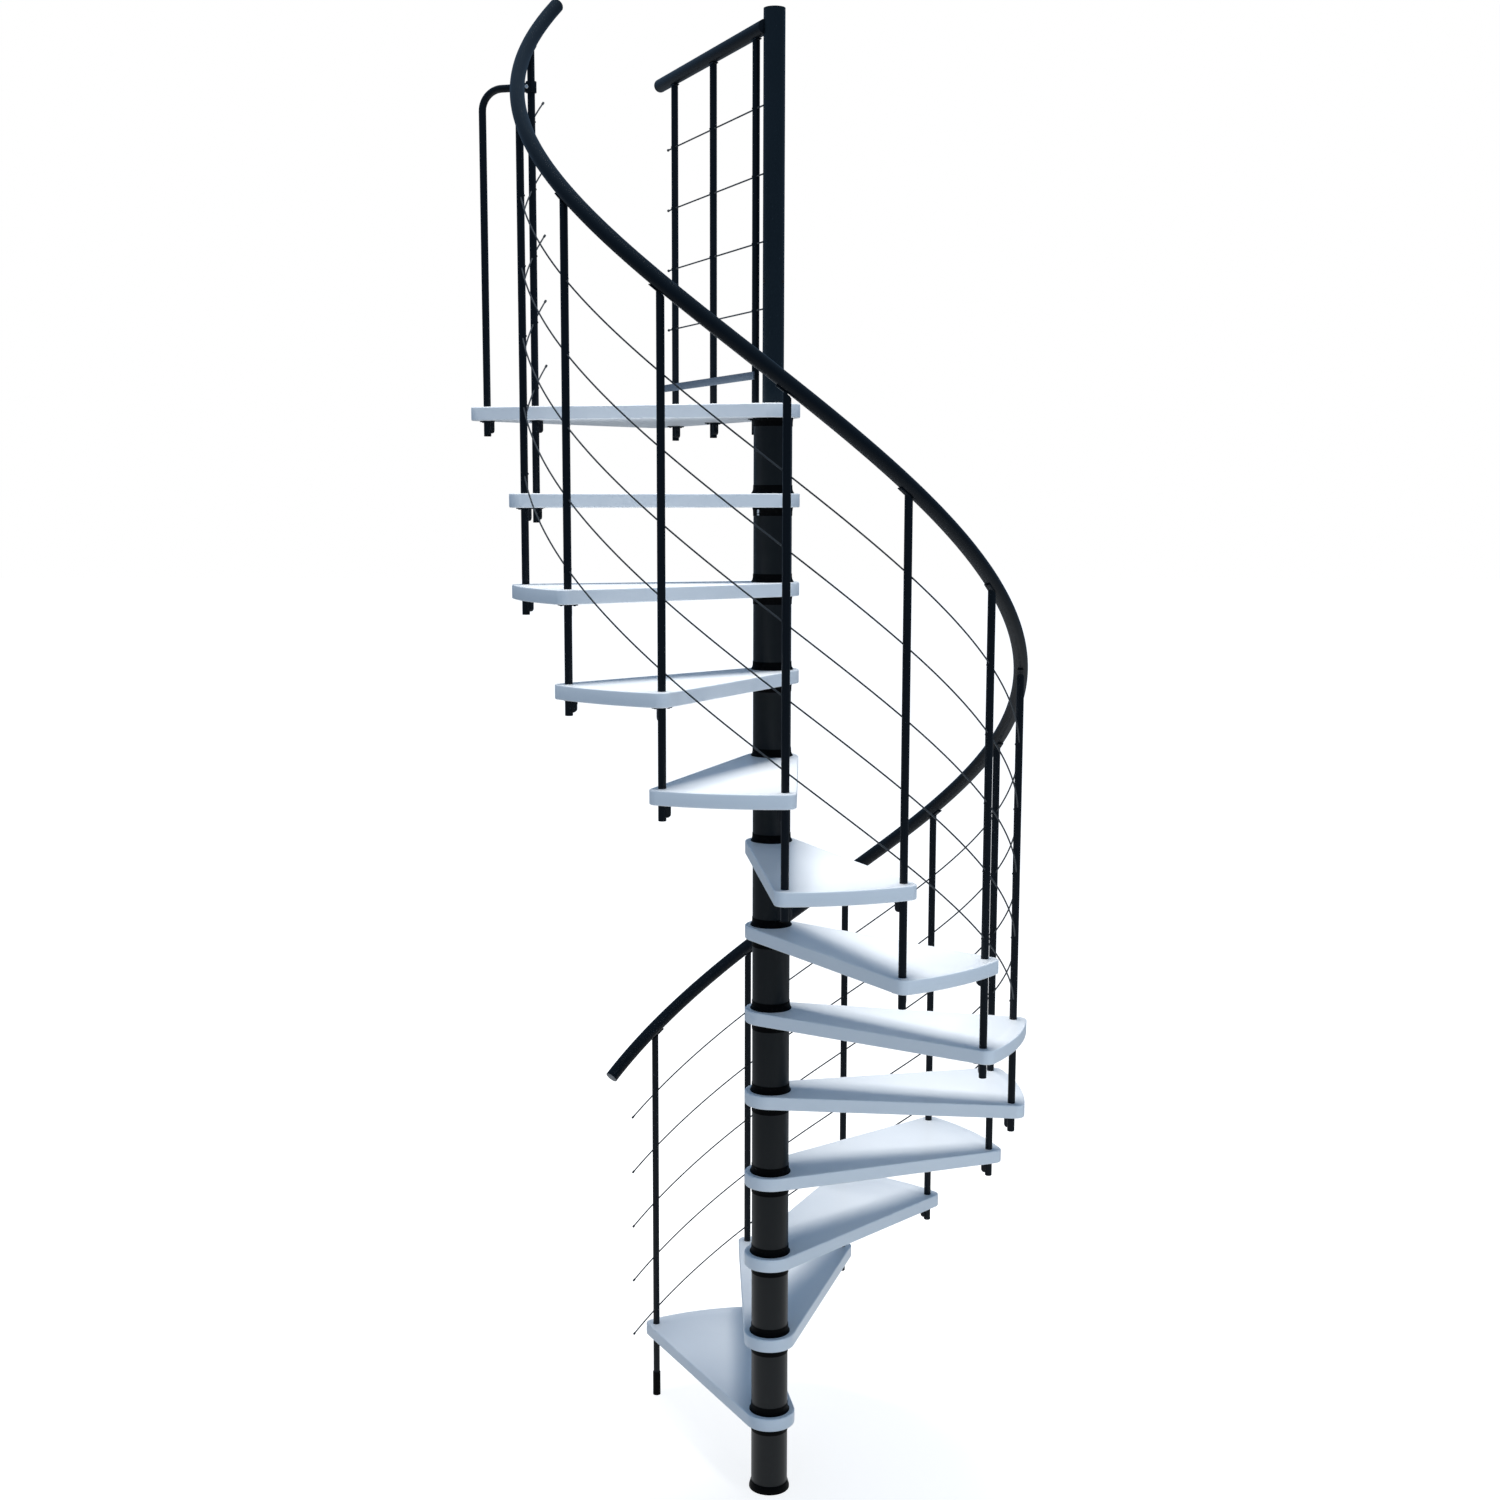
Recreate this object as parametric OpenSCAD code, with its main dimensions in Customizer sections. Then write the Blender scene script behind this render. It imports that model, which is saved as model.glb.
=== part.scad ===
// Spiral staircase: a steel pole carries twelve wedge treads and a landing
// platform. The stair turns clockwise as it climbs, seen from above.
// Origin: centre of the pole's base, on the floor. +Z is up.

/* [Stair] */
// Height from one tread's top to the next
rise = 235; // [200:1:260]
// Angle turned by each tread, in degrees
step_angle = 26.2; // [24:0.2:30]
// Compass angle of the first baluster, in degrees
start_angle = 122.4; // [90:0.2:150]

/* [Treads] */
// Outer radius of the treads
stair_r = 700; // [560:5:850]
// Thickness of the treads and the platform
tread_t = 37; // [28:1:50]
// Radius of a tread's rounded small end, around the pole
tread_hub_r = 72; // [66:1:90]
// Radius of a tread's outer corners
tread_corner_r = 27; // [24:1:36]
// Distance from the balusters' circle out to the treads' outer edge
edge_setback = 36; // [30:1:45]

/* [Pole] */
// Outer radius of the centre pole
pole_r = 28.5; // [22:0.5:34]
// Wall of the centre pole
pole_wall = 4; // [3:0.5:6]
// Height of the pole's top above the platform
post_h = 1007; // [850:1:1200]
// Outer radius of the spacer tubes between the treads
spacer_r = 51.5; // [42:0.5:56]
// Wall of the spacer tubes
spacer_wall = 3; // [2:0.5:5]
// Largest radius of the flared collars at each spacer's foot and head
collar_r = 57.5; // [55:0.5:62]
// Height of a flared collar
collar_h = 22; // [12:1:30]
// Thickness of the base disc inside the collar
base_t = 10; // [6:1:16]

/* [Balusters] */
// Outer radius of a baluster tube
baluster_r = 10; // [8:0.5:12]
// Wall of a baluster tube
baluster_wall = 2; // [1.5:0.5:3]
// How far a baluster ends below the top of its lower tread
baluster_drop = 77; // [65:1:95]
// Height of the floor sleeve on the first baluster
sleeve_h = 75; // [50:1:100]

/* [Handrail] */
// Radius of the handrail tube
handrail_r = 19; // [16:0.5:22]
// Height of the handrail's centre above the upper tread of each baluster
handrail_h = 958; // [850:1:1050]
// Angle that the handrail runs on past the end balusters, in degrees
handrail_run = 14; // [6:1:20]

/* [Cables] */
// Radius of a cable
cable_r = 2; // [1.5:0.25:3]
// Height of the lowest cable above the upper tread
cable_low = 50; // [40:1:70]
// Height from one cable to the next
cable_gap = 175; // [150:1:180]
// Angle that the cables run on past the end balusters, in degrees
cable_run = 7.3; // [4:0.1:10]

/* [Platform] */
// Angle between the platform's two sides, in degrees
platform_angle = 52.4; // [48:0.2:60]
// Distance from the balusters' circle out to the centres of the platform's outer corners
platform_beyond = 156; // [120:1:300]
// Radius of the platform's outer corners
platform_corner_r = 28; // [24:1:40]
// Distance from the balusters' circle out to the closing tube
closing_beyond = 139; // [110:1:160]
// Height of the closing tube's level run above the platform
closing_h = 840; // [700:1:900]
// Bend radius of the closing tube's centre line
closing_bend_r = 56; // [35:1:70]

/* [Guard] */
// How far the guard's line turns past the platform's far side, in degrees
guard_skew = 2.2; // [0:0.1:3]
// Distance from the pole's axis to the guard's line, on the walking side
guard_offset = 26; // [24:0.5:30]
// Distance along the guard's line to the baluster nearest the pole
guard_near = 59; // [58:1:90]
// Distance from one guard baluster to the next
guard_gap = 304; // [260:1:310]
// How far the guard's handrail runs past its last baluster
guard_rail_run = 132; // [80:1:180]
// How far the guard's cables and toe bar run past its last baluster
guard_cable_run = 55; // [30:1:70]
// Number of guard cables
guard_cable_count = 4; // [2:1:4]
// Height of the lowest guard cable above the platform
guard_cable_low = 246; // [200:1:260]
// Height from one guard cable to the next
guard_cable_gap = 172.5; // [150:0.5:175]
// Height of the toe bar's lower edge above the platform
toe_bar_low = 65; // [40:1:90]
// Height of the toe bar's strip
toe_bar_h = 21; // [12:1:30]
// Thickness of the toe bar's strip
toe_bar_t = 5; // [3:0.5:8]

/* [Clamps] */
// Thickness of a clamp's flange under a tread
flange_t = 3; // [2:0.5:5]
// Distance from a baluster to each flange screw
flange_reach = 17; // [16:0.5:22]
// Radius of a flange's ends
flange_end_r = 9; // [7:0.5:11]
// Height of a clamp's lug
lug_h = 34; // [20:1:38]
// Width of a clamp's lug
lug_w = 14; // [10:1:18]
// How far a clamp's lug reaches out from the tube
lug_reach = 10; // [8:1:18]
// Radius of the lug's lower corner
lug_corner_r = 9; // [4:1:10]
// Length of a saddle plate under the handrail
saddle_l = 34; // [26:1:44]
// Width of a saddle plate
saddle_w = 16; // [12:1:20]
// Thickness of a saddle plate
saddle_t = 3; // [2:0.5:4]
// Depth of a saddle's plug inside the baluster
saddle_plug = 14; // [8:1:24]
// Height of the ring clamp on the last baluster
ring_h = 29; // [20:1:40]
// Outer radius of the ring clamp
ring_r = 14.5; // [13.5:0.5:18]

/* [Fits] */
// Clearance around tubes and between curved faces
fit = 0.3; // [0.2:0.05:0.5]

/* [Hidden] */
$fn = 64;

STEEL = "#1c1f24";
COLLAR = "#0c0c0e";
LACQUER = "#eef1f5";
CABLE = "#5c6468";
STRIP = "#8d98a8";

// Treads in the flight and cables along it; each has its own node
tread_count = 12;
cable_count = 5;
// Clearance past a cut, so that no face is shared
eps = 1;
// How far a straight side lies inside the tangent of the circle that it joins
tuck = 0.05;

platform_z = (tread_count + 1) * rise;
post_top = platform_z + post_h;
baluster_circle = stair_r - edge_setback;
platform_reach = baluster_circle + platform_beyond;
closing_reach = baluster_circle + closing_beyond;
slope = atan(rise / (baluster_circle * step_angle * PI / 180));
// Depth of the handrail's underside below its centre line, square to the slope
rail_seat = handrail_r + fit;
baluster_cut = rail_seat + saddle_t;
cap_h = 5;
cap_dome = 2;
cap_plug = 15;
collar_foot = 5;
collar_lip = 1.3;
sleeve_wall = 1.6;
sleeve_base = 4;
plug_t = 5;
flange_hub_r = baluster_r + 4;
boss_r = ring_r - 2;
boss_l = ring_r + 6;
ring_slot = 2;
rail_wall = 2;
// Turn of the clamp nearest the pole, so that its flange clears the collar
near_clamp_turn = 25;
stop_r = 4;

platform_mid = baluster_az(tread_count) - platform_angle / 2;
guard_az = baluster_az(tread_count) - platform_angle - guard_skew;
guard_count = 3;
guard_end = guard_near + (guard_count - 1) * guard_gap;
guard_rail_z = platform_z + handrail_h;
outer_edge_az = platform_mid - 90;

// Compass angle of baluster k; baluster 0 is the first one, on the floor
function baluster_az(k) = start_angle - k * step_angle;
// A point at angle u (degrees of climb past the first baluster) on a helix that
// passes z0 at the first baluster
function helix_at(u, z0) = [
    baluster_circle * cos(start_angle - u),
    baluster_circle * sin(start_angle - u),
    z0 + u / step_angle * rise
];
// Height of the handrail and of cable j at the first baluster
handrail_z0 = rise + handrail_h;
function cable_z0(j) = rise + cable_low + j * cable_gap;
function guard_cable_z(j) = platform_z + guard_cable_low + j * guard_cable_gap;

// --- Placing ---------------------------------------------------------------

// Puts a piece on a helix: +X runs uphill along it, +Y points away from the pole
module on_helix(u, z0) {
    translate(helix_at(u, z0))
        rotate([0, 0, start_angle - u - 90])
            rotate([0, -slope, 0])
                children();
}

// Puts a piece on the axis of flight baluster k, at height z
module at_baluster(k, z) {
    translate([baluster_circle * cos(baluster_az(k)), baluster_circle * sin(baluster_az(k)), z])
        children();
}

// Puts a piece on the guard's line: +X runs outwards from the pole, +Y points
// to the platform's walking side
module on_guard(s, z) {
    rotate([0, 0, guard_az])
        translate([s, guard_offset, z])
            children();
}

// Puts a piece on the closing tube's vertical axis, +X towards the pole
module at_closing(z) {
    rotate([0, 0, baluster_az(tread_count)])
        translate([closing_reach, 0, z])
            rotate([0, 0, 180])
                children();
}

// --- Shapes ----------------------------------------------------------------

module tube(r, wall, h) {
    difference() {
        cylinder(r = r, h = h);
        translate([0, 0, -eps])
            cylinder(r = r - wall, h = h + 2 * eps);
    }
}

function mirrored(p) = [p[0], -p[1]];

// A wedge-shaped slab about +X: straight sides from the hub to two round corners.
// The outline's points between the two corners, upper half only, are in outer. The
// sides run a hair inside the true tangents, so that they cross the round faces
module wedge(reach, corner_r, half, outer = []) {
    centre = reach * [cos(half), sin(half)];
    lean = acos((tread_hub_r - corner_r) / reach);
    normal = [cos(half + lean), sin(half + lean)];
    upper = concat(
        [(tread_hub_r - tuck) * normal, centre + (corner_r - tuck) * normal],
        outer
    );
    lower = [for (i = [len(upper) - 1 : -1 : 0]) mirrored(upper[i])];
    linear_extrude(tread_t)
        polygon(concat(upper, lower));
    cylinder(r = tread_hub_r, h = tread_t);
    for (p = [centre, mirrored(centre)])
        translate(p)
            cylinder(r = corner_r, h = tread_t);
}

// A tread's slab: the wedge, closed by an arc about the pole that meets both corners
module tread_slab() {
    half = step_angle / 2;
    inner = [stair_r / 2, 0];
    arc_end = stair_r * [cos(half), sin(half)];
    beyond = inner + 1.2 * (arc_end - inner);
    wedge(stair_r - tread_corner_r, tread_corner_r, half);
    intersection() {
        cylinder(r = stair_r - tuck, h = tread_t, $fn = 180);
        linear_extrude(tread_t)
            polygon([inner, mirrored(beyond), beyond]);
    }
}

// The platform's slab: a longer wedge, closed by a straight edge
module platform_slab() {
    half = platform_angle / 2;
    edge_end = platform_reach * [cos(half), sin(half)] + [platform_corner_r - tuck, 0];
    wedge(platform_reach, platform_corner_r, half, [edge_end]);
}

module pole_bore() {
    translate([0, 0, -eps])
        cylinder(r = pole_r + fit, h = tread_t + 2 * eps);
}

module baluster_bore() {
    translate([0, 0, -eps])
        cylinder(r = baluster_r + fit, h = tread_t + 2 * eps);
}

// One tread, number k from the floor, bored for the pole and two balusters
module tread(k) {
    color(LACQUER)
    translate([0, 0, k * rise - tread_t])
    difference() {
        rotate([0, 0, baluster_az(k - 0.5)])
            tread_slab();
        pole_bore();
        for (b = [k - 1, k])
            at_baluster(b, 0)
                baluster_bore();
    }
}

// A round bar bent along a helix, from run degrees before the first baluster to
// run degrees past the last, with segs rings for each tread
module helix_rod(r, sides, segs, run, z0) {
    last = tread_count * step_angle;
    angles = concat(
        [-run, -run / 2],
        [for (i = [0 : tread_count * segs]) i * step_angle / segs],
        [last + run / 2, last + run]
    );
    rings = len(angles);
    points = [
        for (u = angles)
            let (
                az = start_angle - u,
                out = [cos(az), sin(az), 0],
                up = [-sin(slope) * sin(az), sin(slope) * cos(az), cos(slope)]
            )
            for (s = [0 : sides - 1])
                helix_at(u, z0) + r * (cos(360 * s / sides) * out + sin(360 * s / sides) * up)
    ];
    skin = [
        for (i = [0 : rings - 2], s = [0 : sides - 1])
            let (a = i * sides + s, b = i * sides + (s + 1) % sides)
            each [[a, b, b + sides], [a, b + sides, a + sides]]
    ];
    start_face = [for (s = [sides - 1 : -1 : 0]) s];
    end_face = [for (s = [0 : sides - 1]) (rings - 1) * sides + s];
    polyhedron(points, concat(skin, [start_face], [end_face]), convexity = 10);
}

// The screwed flange of a clamp, flat under a tread
module flange() {
    translate([0, 0, -flange_t])
        linear_extrude(flange_t) {
            circle(r = flange_hub_r);
            square([2 * flange_end_r, 2 * flange_reach], center = true);
            for (side = [-1, 1])
                translate([0, side * flange_reach])
                    circle(r = flange_end_r);
        }
}

// The lug of a clamp, towards +X, rounded at its lower corner
module lug() {
    tip = baluster_r + lug_reach;
    translate([0, lug_w / 2, 0])
        rotate([90, 0, 0])
            linear_extrude(lug_w) {
                translate([0, -lug_h])
                    square([tip - lug_corner_r, lug_h]);
                translate([0, lug_corner_r - lug_h])
                    square([tip, lug_h - lug_corner_r]);
                translate([tip - lug_corner_r, lug_corner_r - lug_h])
                    circle(r = lug_corner_r);
            }
}

// A clamp under a tread: flange and lug, bored for the tube that they grip
module clamp(lugged = true) {
    difference() {
        union() {
            flange();
            if (lugged)
                lug();
        }
        translate([0, 0, -lug_h - eps])
            cylinder(r = baluster_r + fit, h = lug_h + 2 * eps);
    }
}

// A collar's flared ring about a spacer, its wide end at z = 0
module flared_ring() {
    rotate_extrude()
        polygon([
            [spacer_r + fit, 0], [collar_r, 0], [collar_r, collar_foot],
            [spacer_r + collar_lip, collar_h], [spacer_r + fit, collar_h]
        ]);
}

// A saddle plate lying under a handrail, its top face at z = 0
module saddle_plate() {
    translate([-saddle_l / 2, -saddle_w / 2, -saddle_t])
        cube([saddle_l, saddle_w, saddle_t]);
}

// --- Pole ------------------------------------------------------------------

module base_collar() {
    color(COLLAR) {
        flared_ring();
        cylinder(r = spacer_r + 2 * fit, h = base_t);
    }
}

module centre_pole() {
    color(STEEL)
    translate([0, 0, base_t])
        tube(pole_r, pole_wall, post_top - cap_h - base_t);
}

module pole_cap() {
    dome_r = (pow(pole_r, 2) + pow(cap_dome, 2)) / (2 * cap_dome);
    color(STEEL)
    translate([0, 0, post_top - cap_h]) {
        intersection() {
            cylinder(r = pole_r, h = cap_h);
            translate([0, 0, cap_h - dome_r])
                sphere(r = dome_r);
        }
        translate([0, 0, -cap_plug])
            cylinder(r = pole_r - pole_wall - fit, h = cap_plug + cap_h / 2);
    }
}

module spacer_tubes() {
    color(STEEL)
    for (k = [0 : tread_count]) {
        foot = k == 0 ? base_t : k * rise;
        translate([0, 0, foot])
            tube(spacer_r, spacer_wall, (k + 1) * rise - tread_t - foot);
    }
}

// The collars on the treads and, upside down, those under the treads and the
// platform. The topmost is notched for the guard baluster nearest the pole
module spacer_collars() {
    color(COLLAR) {
        for (k = [1 : tread_count])
            translate([0, 0, k * rise]) {
                flared_ring();
                translate([0, 0, -tread_t])
                    mirror([0, 0, 1])
                        flared_ring();
            }
        difference() {
            translate([0, 0, platform_z - tread_t])
                mirror([0, 0, 1])
                    flared_ring();
            on_guard(guard_near, platform_z - baluster_drop)
                cylinder(r = baluster_r + fit, h = baluster_drop);
        }
    }
}

// --- Platform --------------------------------------------------------------

module platform() {
    color(LACQUER)
    translate([0, 0, platform_z - tread_t])
    difference() {
        rotate([0, 0, platform_mid])
            platform_slab();
        pole_bore();
        at_baluster(tread_count, 0)
            baluster_bore();
        at_closing(0)
            baluster_bore();
        for (i = [0 : guard_count - 1])
            on_guard(guard_near + i * guard_gap, 0)
                baluster_bore();
    }
}

// --- Flight balustrade -------------------------------------------------------

module flight_balusters() {
    color(STEEL)
    for (k = [0 : tread_count]) {
        foot = k == 0 ? sleeve_base : k * rise - baluster_drop;
        difference() {
            at_baluster(k, foot)
                tube(baluster_r, baluster_wall, handrail_z0 + k * rise - foot);
            on_helix(k * step_angle, handrail_z0)
                translate([-3 * baluster_r, -3 * baluster_r, -baluster_cut])
                    cube([6 * baluster_r, 6 * baluster_r, 6 * baluster_r]);
            for (j = [0 : cable_count - 1])
                on_helix(k * step_angle, cable_z0(j))
                    rotate([0, 90, 0])
                        cylinder(r = cable_r + fit, h = 4 * baluster_r, center = true);
        }
    }
}

module floor_sleeve() {
    sleeve_r = baluster_r + fit + sleeve_wall;
    color(COLLAR)
    at_baluster(0, 0)
        difference() {
            cylinder(r = sleeve_r, h = sleeve_h);
            translate([0, 0, sleeve_base])
                cylinder(r = baluster_r + fit, h = sleeve_h);
        }
}

module tread_clamps() {
    color(STEEL)
    for (k = [1 : tread_count]) {
        under = k * rise - tread_t;
        at_baluster(k - 1, under)
            rotate([0, 0, baluster_az(k - 1) - 135])
                clamp();
        at_baluster(k, under)
            rotate([0, 0, baluster_az(k) + 135])
                clamp();
    }
}

module platform_clamps() {
    under = platform_z - tread_t;
    color(STEEL) {
        at_baluster(tread_count, under)
            rotate([0, 0, baluster_az(tread_count) - 135])
                clamp();
        at_closing(under)
            rotate([0, 0, outer_edge_az - baluster_az(tread_count) - 180])
                clamp();
        // The clamp nearest the pole has no lug, and its flange clears the collar
        difference() {
            on_guard(guard_near, under)
                rotate([0, 0, near_clamp_turn])
                    clamp(lugged = false);
            translate([0, 0, under - lug_h])
                cylinder(r = collar_r + fit, h = 2 * lug_h);
        }
        for (i = [1 : guard_count - 1])
            on_guard(guard_near + i * guard_gap, under)
                rotate([0, 0, 180])
                    clamp();
    }
}

module handrail() {
    color(STEEL)
    helix_rod(handrail_r, 16, 8, handrail_run, handrail_z0);
}

module handrail_plugs() {
    last = tread_count * step_angle;
    color(CABLE) {
        on_helix(-handrail_run, handrail_z0)
            rotate([0, -90, 0])
                cylinder(r = handrail_r - 1, h = plug_t);
        on_helix(last + handrail_run, handrail_z0)
            rotate([0, 90, 0])
                cylinder(r = handrail_r - 1, h = plug_t);
    }
}

module handrail_saddles() {
    stem_r = baluster_r - baluster_wall - fit;
    color(STEEL)
    for (k = [0 : tread_count]) {
        top = handrail_z0 + k * rise;
        stem_l = baluster_cut / cos(slope) + saddle_plug;
        on_helix(k * step_angle, handrail_z0)
            translate([0, 0, -rail_seat])
                saddle_plate();
        difference() {
            at_baluster(k, top - stem_l)
                cylinder(r = stem_r, h = stem_l);
            on_helix(k * step_angle, handrail_z0)
                translate([-3 * baluster_r, -3 * baluster_r, -rail_seat - saddle_t / 2])
                    cube([6 * baluster_r, 6 * baluster_r, 6 * baluster_r]);
        }
    }
}

module flight_cable(j) {
    color(CABLE)
    helix_rod(cable_r, 8, 6, cable_run, cable_z0(j));
}

// --- Closing tube at the platform's corner ---------------------------------

// The tube's run at radius r, its open ends drawn past by spare
module closing_run(r, spare) {
    drop = baluster_drop;
    run_l = closing_reach - closing_bend_r - baluster_circle - boss_l;
    translate([0, 0, -drop - spare])
        cylinder(r = r, h = drop + closing_h - closing_bend_r + spare);
    translate([closing_bend_r, 0, closing_h - closing_bend_r])
        rotate([90, 0, 180])
            rotate_extrude(angle = 90)
                translate([closing_bend_r, 0])
                    circle(r = r);
    translate([closing_bend_r, 0, closing_h])
        rotate([0, 90, 0])
            cylinder(r = r, h = run_l + spare);
}

module closing_tube() {
    color(STEEL)
    at_closing(platform_z)
        difference() {
            closing_run(baluster_r, 0);
            closing_run(baluster_r - baluster_wall, eps);
        }
}

module closing_clamp() {
    color(STEEL)
    at_baluster(tread_count, platform_z + closing_h)
        rotate([0, 0, baluster_az(tread_count)])
            difference() {
                union() {
                    cylinder(r = ring_r, h = ring_h, center = true);
                    rotate([0, 90, 0])
                        cylinder(r = boss_r, h = boss_l);
                }
                cylinder(r = baluster_r + fit, h = ring_h + 2 * eps, center = true);
                translate([-ring_r - eps, -ring_slot / 2, -ring_h / 2 - eps])
                    cube([ring_r, ring_slot, ring_h + 2 * eps]);
            }
}

// --- Platform guard --------------------------------------------------------

module guard_balusters() {
    foot = platform_z - baluster_drop;
    color(STEEL)
    for (i = [0 : guard_count - 1])
        on_guard(guard_near + i * guard_gap, 0)
            difference() {
                translate([0, 0, foot])
                    tube(baluster_r, baluster_wall, guard_rail_z - baluster_cut - foot);
                for (j = [0 : guard_cable_count - 1])
                    translate([0, 0, guard_cable_z(j)])
                        rotate([0, 90, 0])
                            cylinder(r = cable_r + fit, h = 4 * baluster_r, center = true);
            }
}

module guard_handrail() {
    rail_l = guard_end + guard_rail_run;
    cap_r = handrail_r + 4;
    cap_rise = cap_r - sqrt(pow(cap_r, 2) - pow(handrail_r, 2));
    // The end at the pole stays solid
    bore_start = pole_r + rail_wall;
    color(STEEL)
    difference() {
        on_guard(0, guard_rail_z)
            rotate([0, 90, 0])
                difference() {
                    union() {
                        cylinder(r = handrail_r, h = rail_l - cap_rise);
                        intersection() {
                            cylinder(r = handrail_r, h = rail_l + eps);
                            translate([0, 0, rail_l - cap_r])
                                sphere(r = cap_r);
                        }
                    }
                    translate([0, 0, bore_start])
                        cylinder(r = handrail_r - rail_wall, h = rail_l - cap_rise - rail_wall - bore_start);
                }
        translate([0, 0, guard_rail_z - 2 * handrail_r])
            cylinder(r = pole_r + fit, h = 4 * handrail_r);
    }
}

module guard_saddles() {
    stem_r = baluster_r - baluster_wall - fit;
    color(STEEL)
    for (i = [0 : guard_count - 1])
        on_guard(guard_near + i * guard_gap, guard_rail_z - rail_seat) {
            saddle_plate();
            translate([0, 0, -saddle_t - saddle_plug])
                cylinder(r = stem_r, h = saddle_plug + saddle_t / 2);
        }
}

module guard_cables() {
    cable_l = guard_end + guard_cable_run;
    color(CABLE)
    difference() {
        for (j = [0 : guard_cable_count - 1])
            on_guard(0, guard_cable_z(j))
                rotate([0, 90, 0]) {
                    cylinder(r = cable_r, h = cable_l, $fn = 24);
                    translate([0, 0, cable_l])
                        sphere(r = stop_r, $fn = 24);
                }
        translate([0, 0, platform_z])
            cylinder(r = pole_r + fit, h = post_h);
    }
}

module toe_bar() {
    start = guard_near - 2 * baluster_r;
    color(STRIP)
    on_guard(start, platform_z + toe_bar_low)
        translate([0, baluster_r + fit, 0])
            cube([guard_end + guard_cable_run - start, toe_bar_t, toe_bar_h]);
}

base_collar();
centre_pole();
pole_cap();
spacer_tubes();
spacer_collars();
tread(1);  // tread_01
tread(2);  // tread_02
tread(3);  // tread_03
tread(4);  // tread_04
tread(5);  // tread_05
tread(6);  // tread_06
tread(7);  // tread_07
tread(8);  // tread_08
tread(9);  // tread_09
tread(10);  // tread_10
tread(11);  // tread_11
tread(12);  // tread_12
platform();
flight_balusters();
floor_sleeve();
tread_clamps();
platform_clamps();
handrail();
handrail_plugs();
handrail_saddles();
flight_cable(0);  // flight_cable_1
flight_cable(1);  // flight_cable_2
flight_cable(2);  // flight_cable_3
flight_cable(3);  // flight_cable_4
flight_cable(4);  // flight_cable_5
closing_tube();
closing_clamp();
guard_balusters();
guard_handrail();
guard_saddles();
guard_cables();
toe_bar();
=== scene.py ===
# %% [markdown]
# # A spiral staircase
# The staircase is a black steel pole with white treads threaded onto it like
# beads, a landing platform on top, and a balustrade of thin tubes, wire cables
# and one handrail bent into a helix. The CAD model fixes every size. This
# script loads it, keeps what is right, and adds what a camera sees close up:
# rounded edges, stranded wire, screws, end caps and paint.

# %% Load the frame
import math
import bmesh
import bpy
from mathutils import Matrix, Vector


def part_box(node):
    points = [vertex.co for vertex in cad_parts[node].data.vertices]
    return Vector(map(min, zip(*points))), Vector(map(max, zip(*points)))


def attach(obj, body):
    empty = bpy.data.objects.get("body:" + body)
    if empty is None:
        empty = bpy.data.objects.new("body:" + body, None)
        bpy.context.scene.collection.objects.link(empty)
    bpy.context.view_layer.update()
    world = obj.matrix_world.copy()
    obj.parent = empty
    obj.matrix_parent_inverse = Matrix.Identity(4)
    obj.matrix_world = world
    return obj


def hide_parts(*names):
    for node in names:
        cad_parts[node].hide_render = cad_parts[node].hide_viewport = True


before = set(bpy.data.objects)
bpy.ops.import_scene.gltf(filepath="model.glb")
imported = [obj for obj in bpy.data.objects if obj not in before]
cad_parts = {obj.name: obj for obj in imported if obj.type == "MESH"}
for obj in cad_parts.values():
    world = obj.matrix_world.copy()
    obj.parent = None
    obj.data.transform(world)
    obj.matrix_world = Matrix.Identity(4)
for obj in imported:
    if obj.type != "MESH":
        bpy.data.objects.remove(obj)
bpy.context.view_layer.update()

# %% [markdown]
# ## Where things are
# A spiral stair is ruled by four values: the circle that the balusters stand
# on, the angle of the first one, the turn from tread to tread and the rise.
# The first two are read from the sleeve under the first baluster. Everything
# on the flight then lies on a helix, so one function gives a place on it: a
# point, the way out from the pole, the way up square to the slope, and the
# way along. Seen from above the stair turns clockwise, so angles go down. The
# platform goes on from the last baluster, and its guard stands a little skew
# to the platform's far edge.

# %% The ruling values
RISE = 0.235
STEP = math.radians(26.2)
TREADS = 12
CABLES = 5
PLATFORM_ANGLE = math.radians(52.4)
GUARD_SKEW = math.radians(2.2)

sleeve_low, sleeve_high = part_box("floor_sleeve")
first = (sleeve_low + sleeve_high) / 2
CIRCLE = math.hypot(first.x, first.y)
START_AZ = math.atan2(first.y, first.x)
SLOPE = math.atan(RISE / (CIRCLE * STEP))
FLIGHT = TREADS * STEP
LAST_AZ = START_AZ - FLIGHT
GUARD_AZ = LAST_AZ - PLATFORM_ANGLE - GUARD_SKEW
platform_low, platform_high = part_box("platform")
PLATFORM_TOP = platform_high.z
TREAD_T = platform_high.z - platform_low.z
print("circle", round(CIRCLE, 4), "slope", round(math.degrees(SLOPE), 2))
print("guard angle", round(math.degrees(GUARD_AZ), 1))


def heading(az):
    """The level direction at an angle about the pole."""
    return Vector((math.cos(az), math.sin(az), 0))


def leftward(az):
    """The level direction to the left of a heading."""
    return Vector((-math.sin(az), math.cos(az), 0))


def helix_place(turn, z0):
    """A place on a helix, turn radians after the first baluster."""
    az = START_AZ - turn
    out = heading(az)
    ahead = -leftward(az)
    along = ahead * math.cos(SLOPE) + Vector((0, 0, math.sin(SLOPE)))
    up = Vector((0, 0, math.cos(SLOPE))) - ahead * math.sin(SLOPE)
    return CIRCLE * out + Vector((0, 0, z0 + turn / STEP * RISE)), out, up, along


def standing(k):
    """The angle of baluster k about the pole, and its axis on the floor."""
    az = START_AZ - k * STEP
    return az, Vector((CIRCLE * math.cos(az), CIRCLE * math.sin(az), 0))


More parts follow.
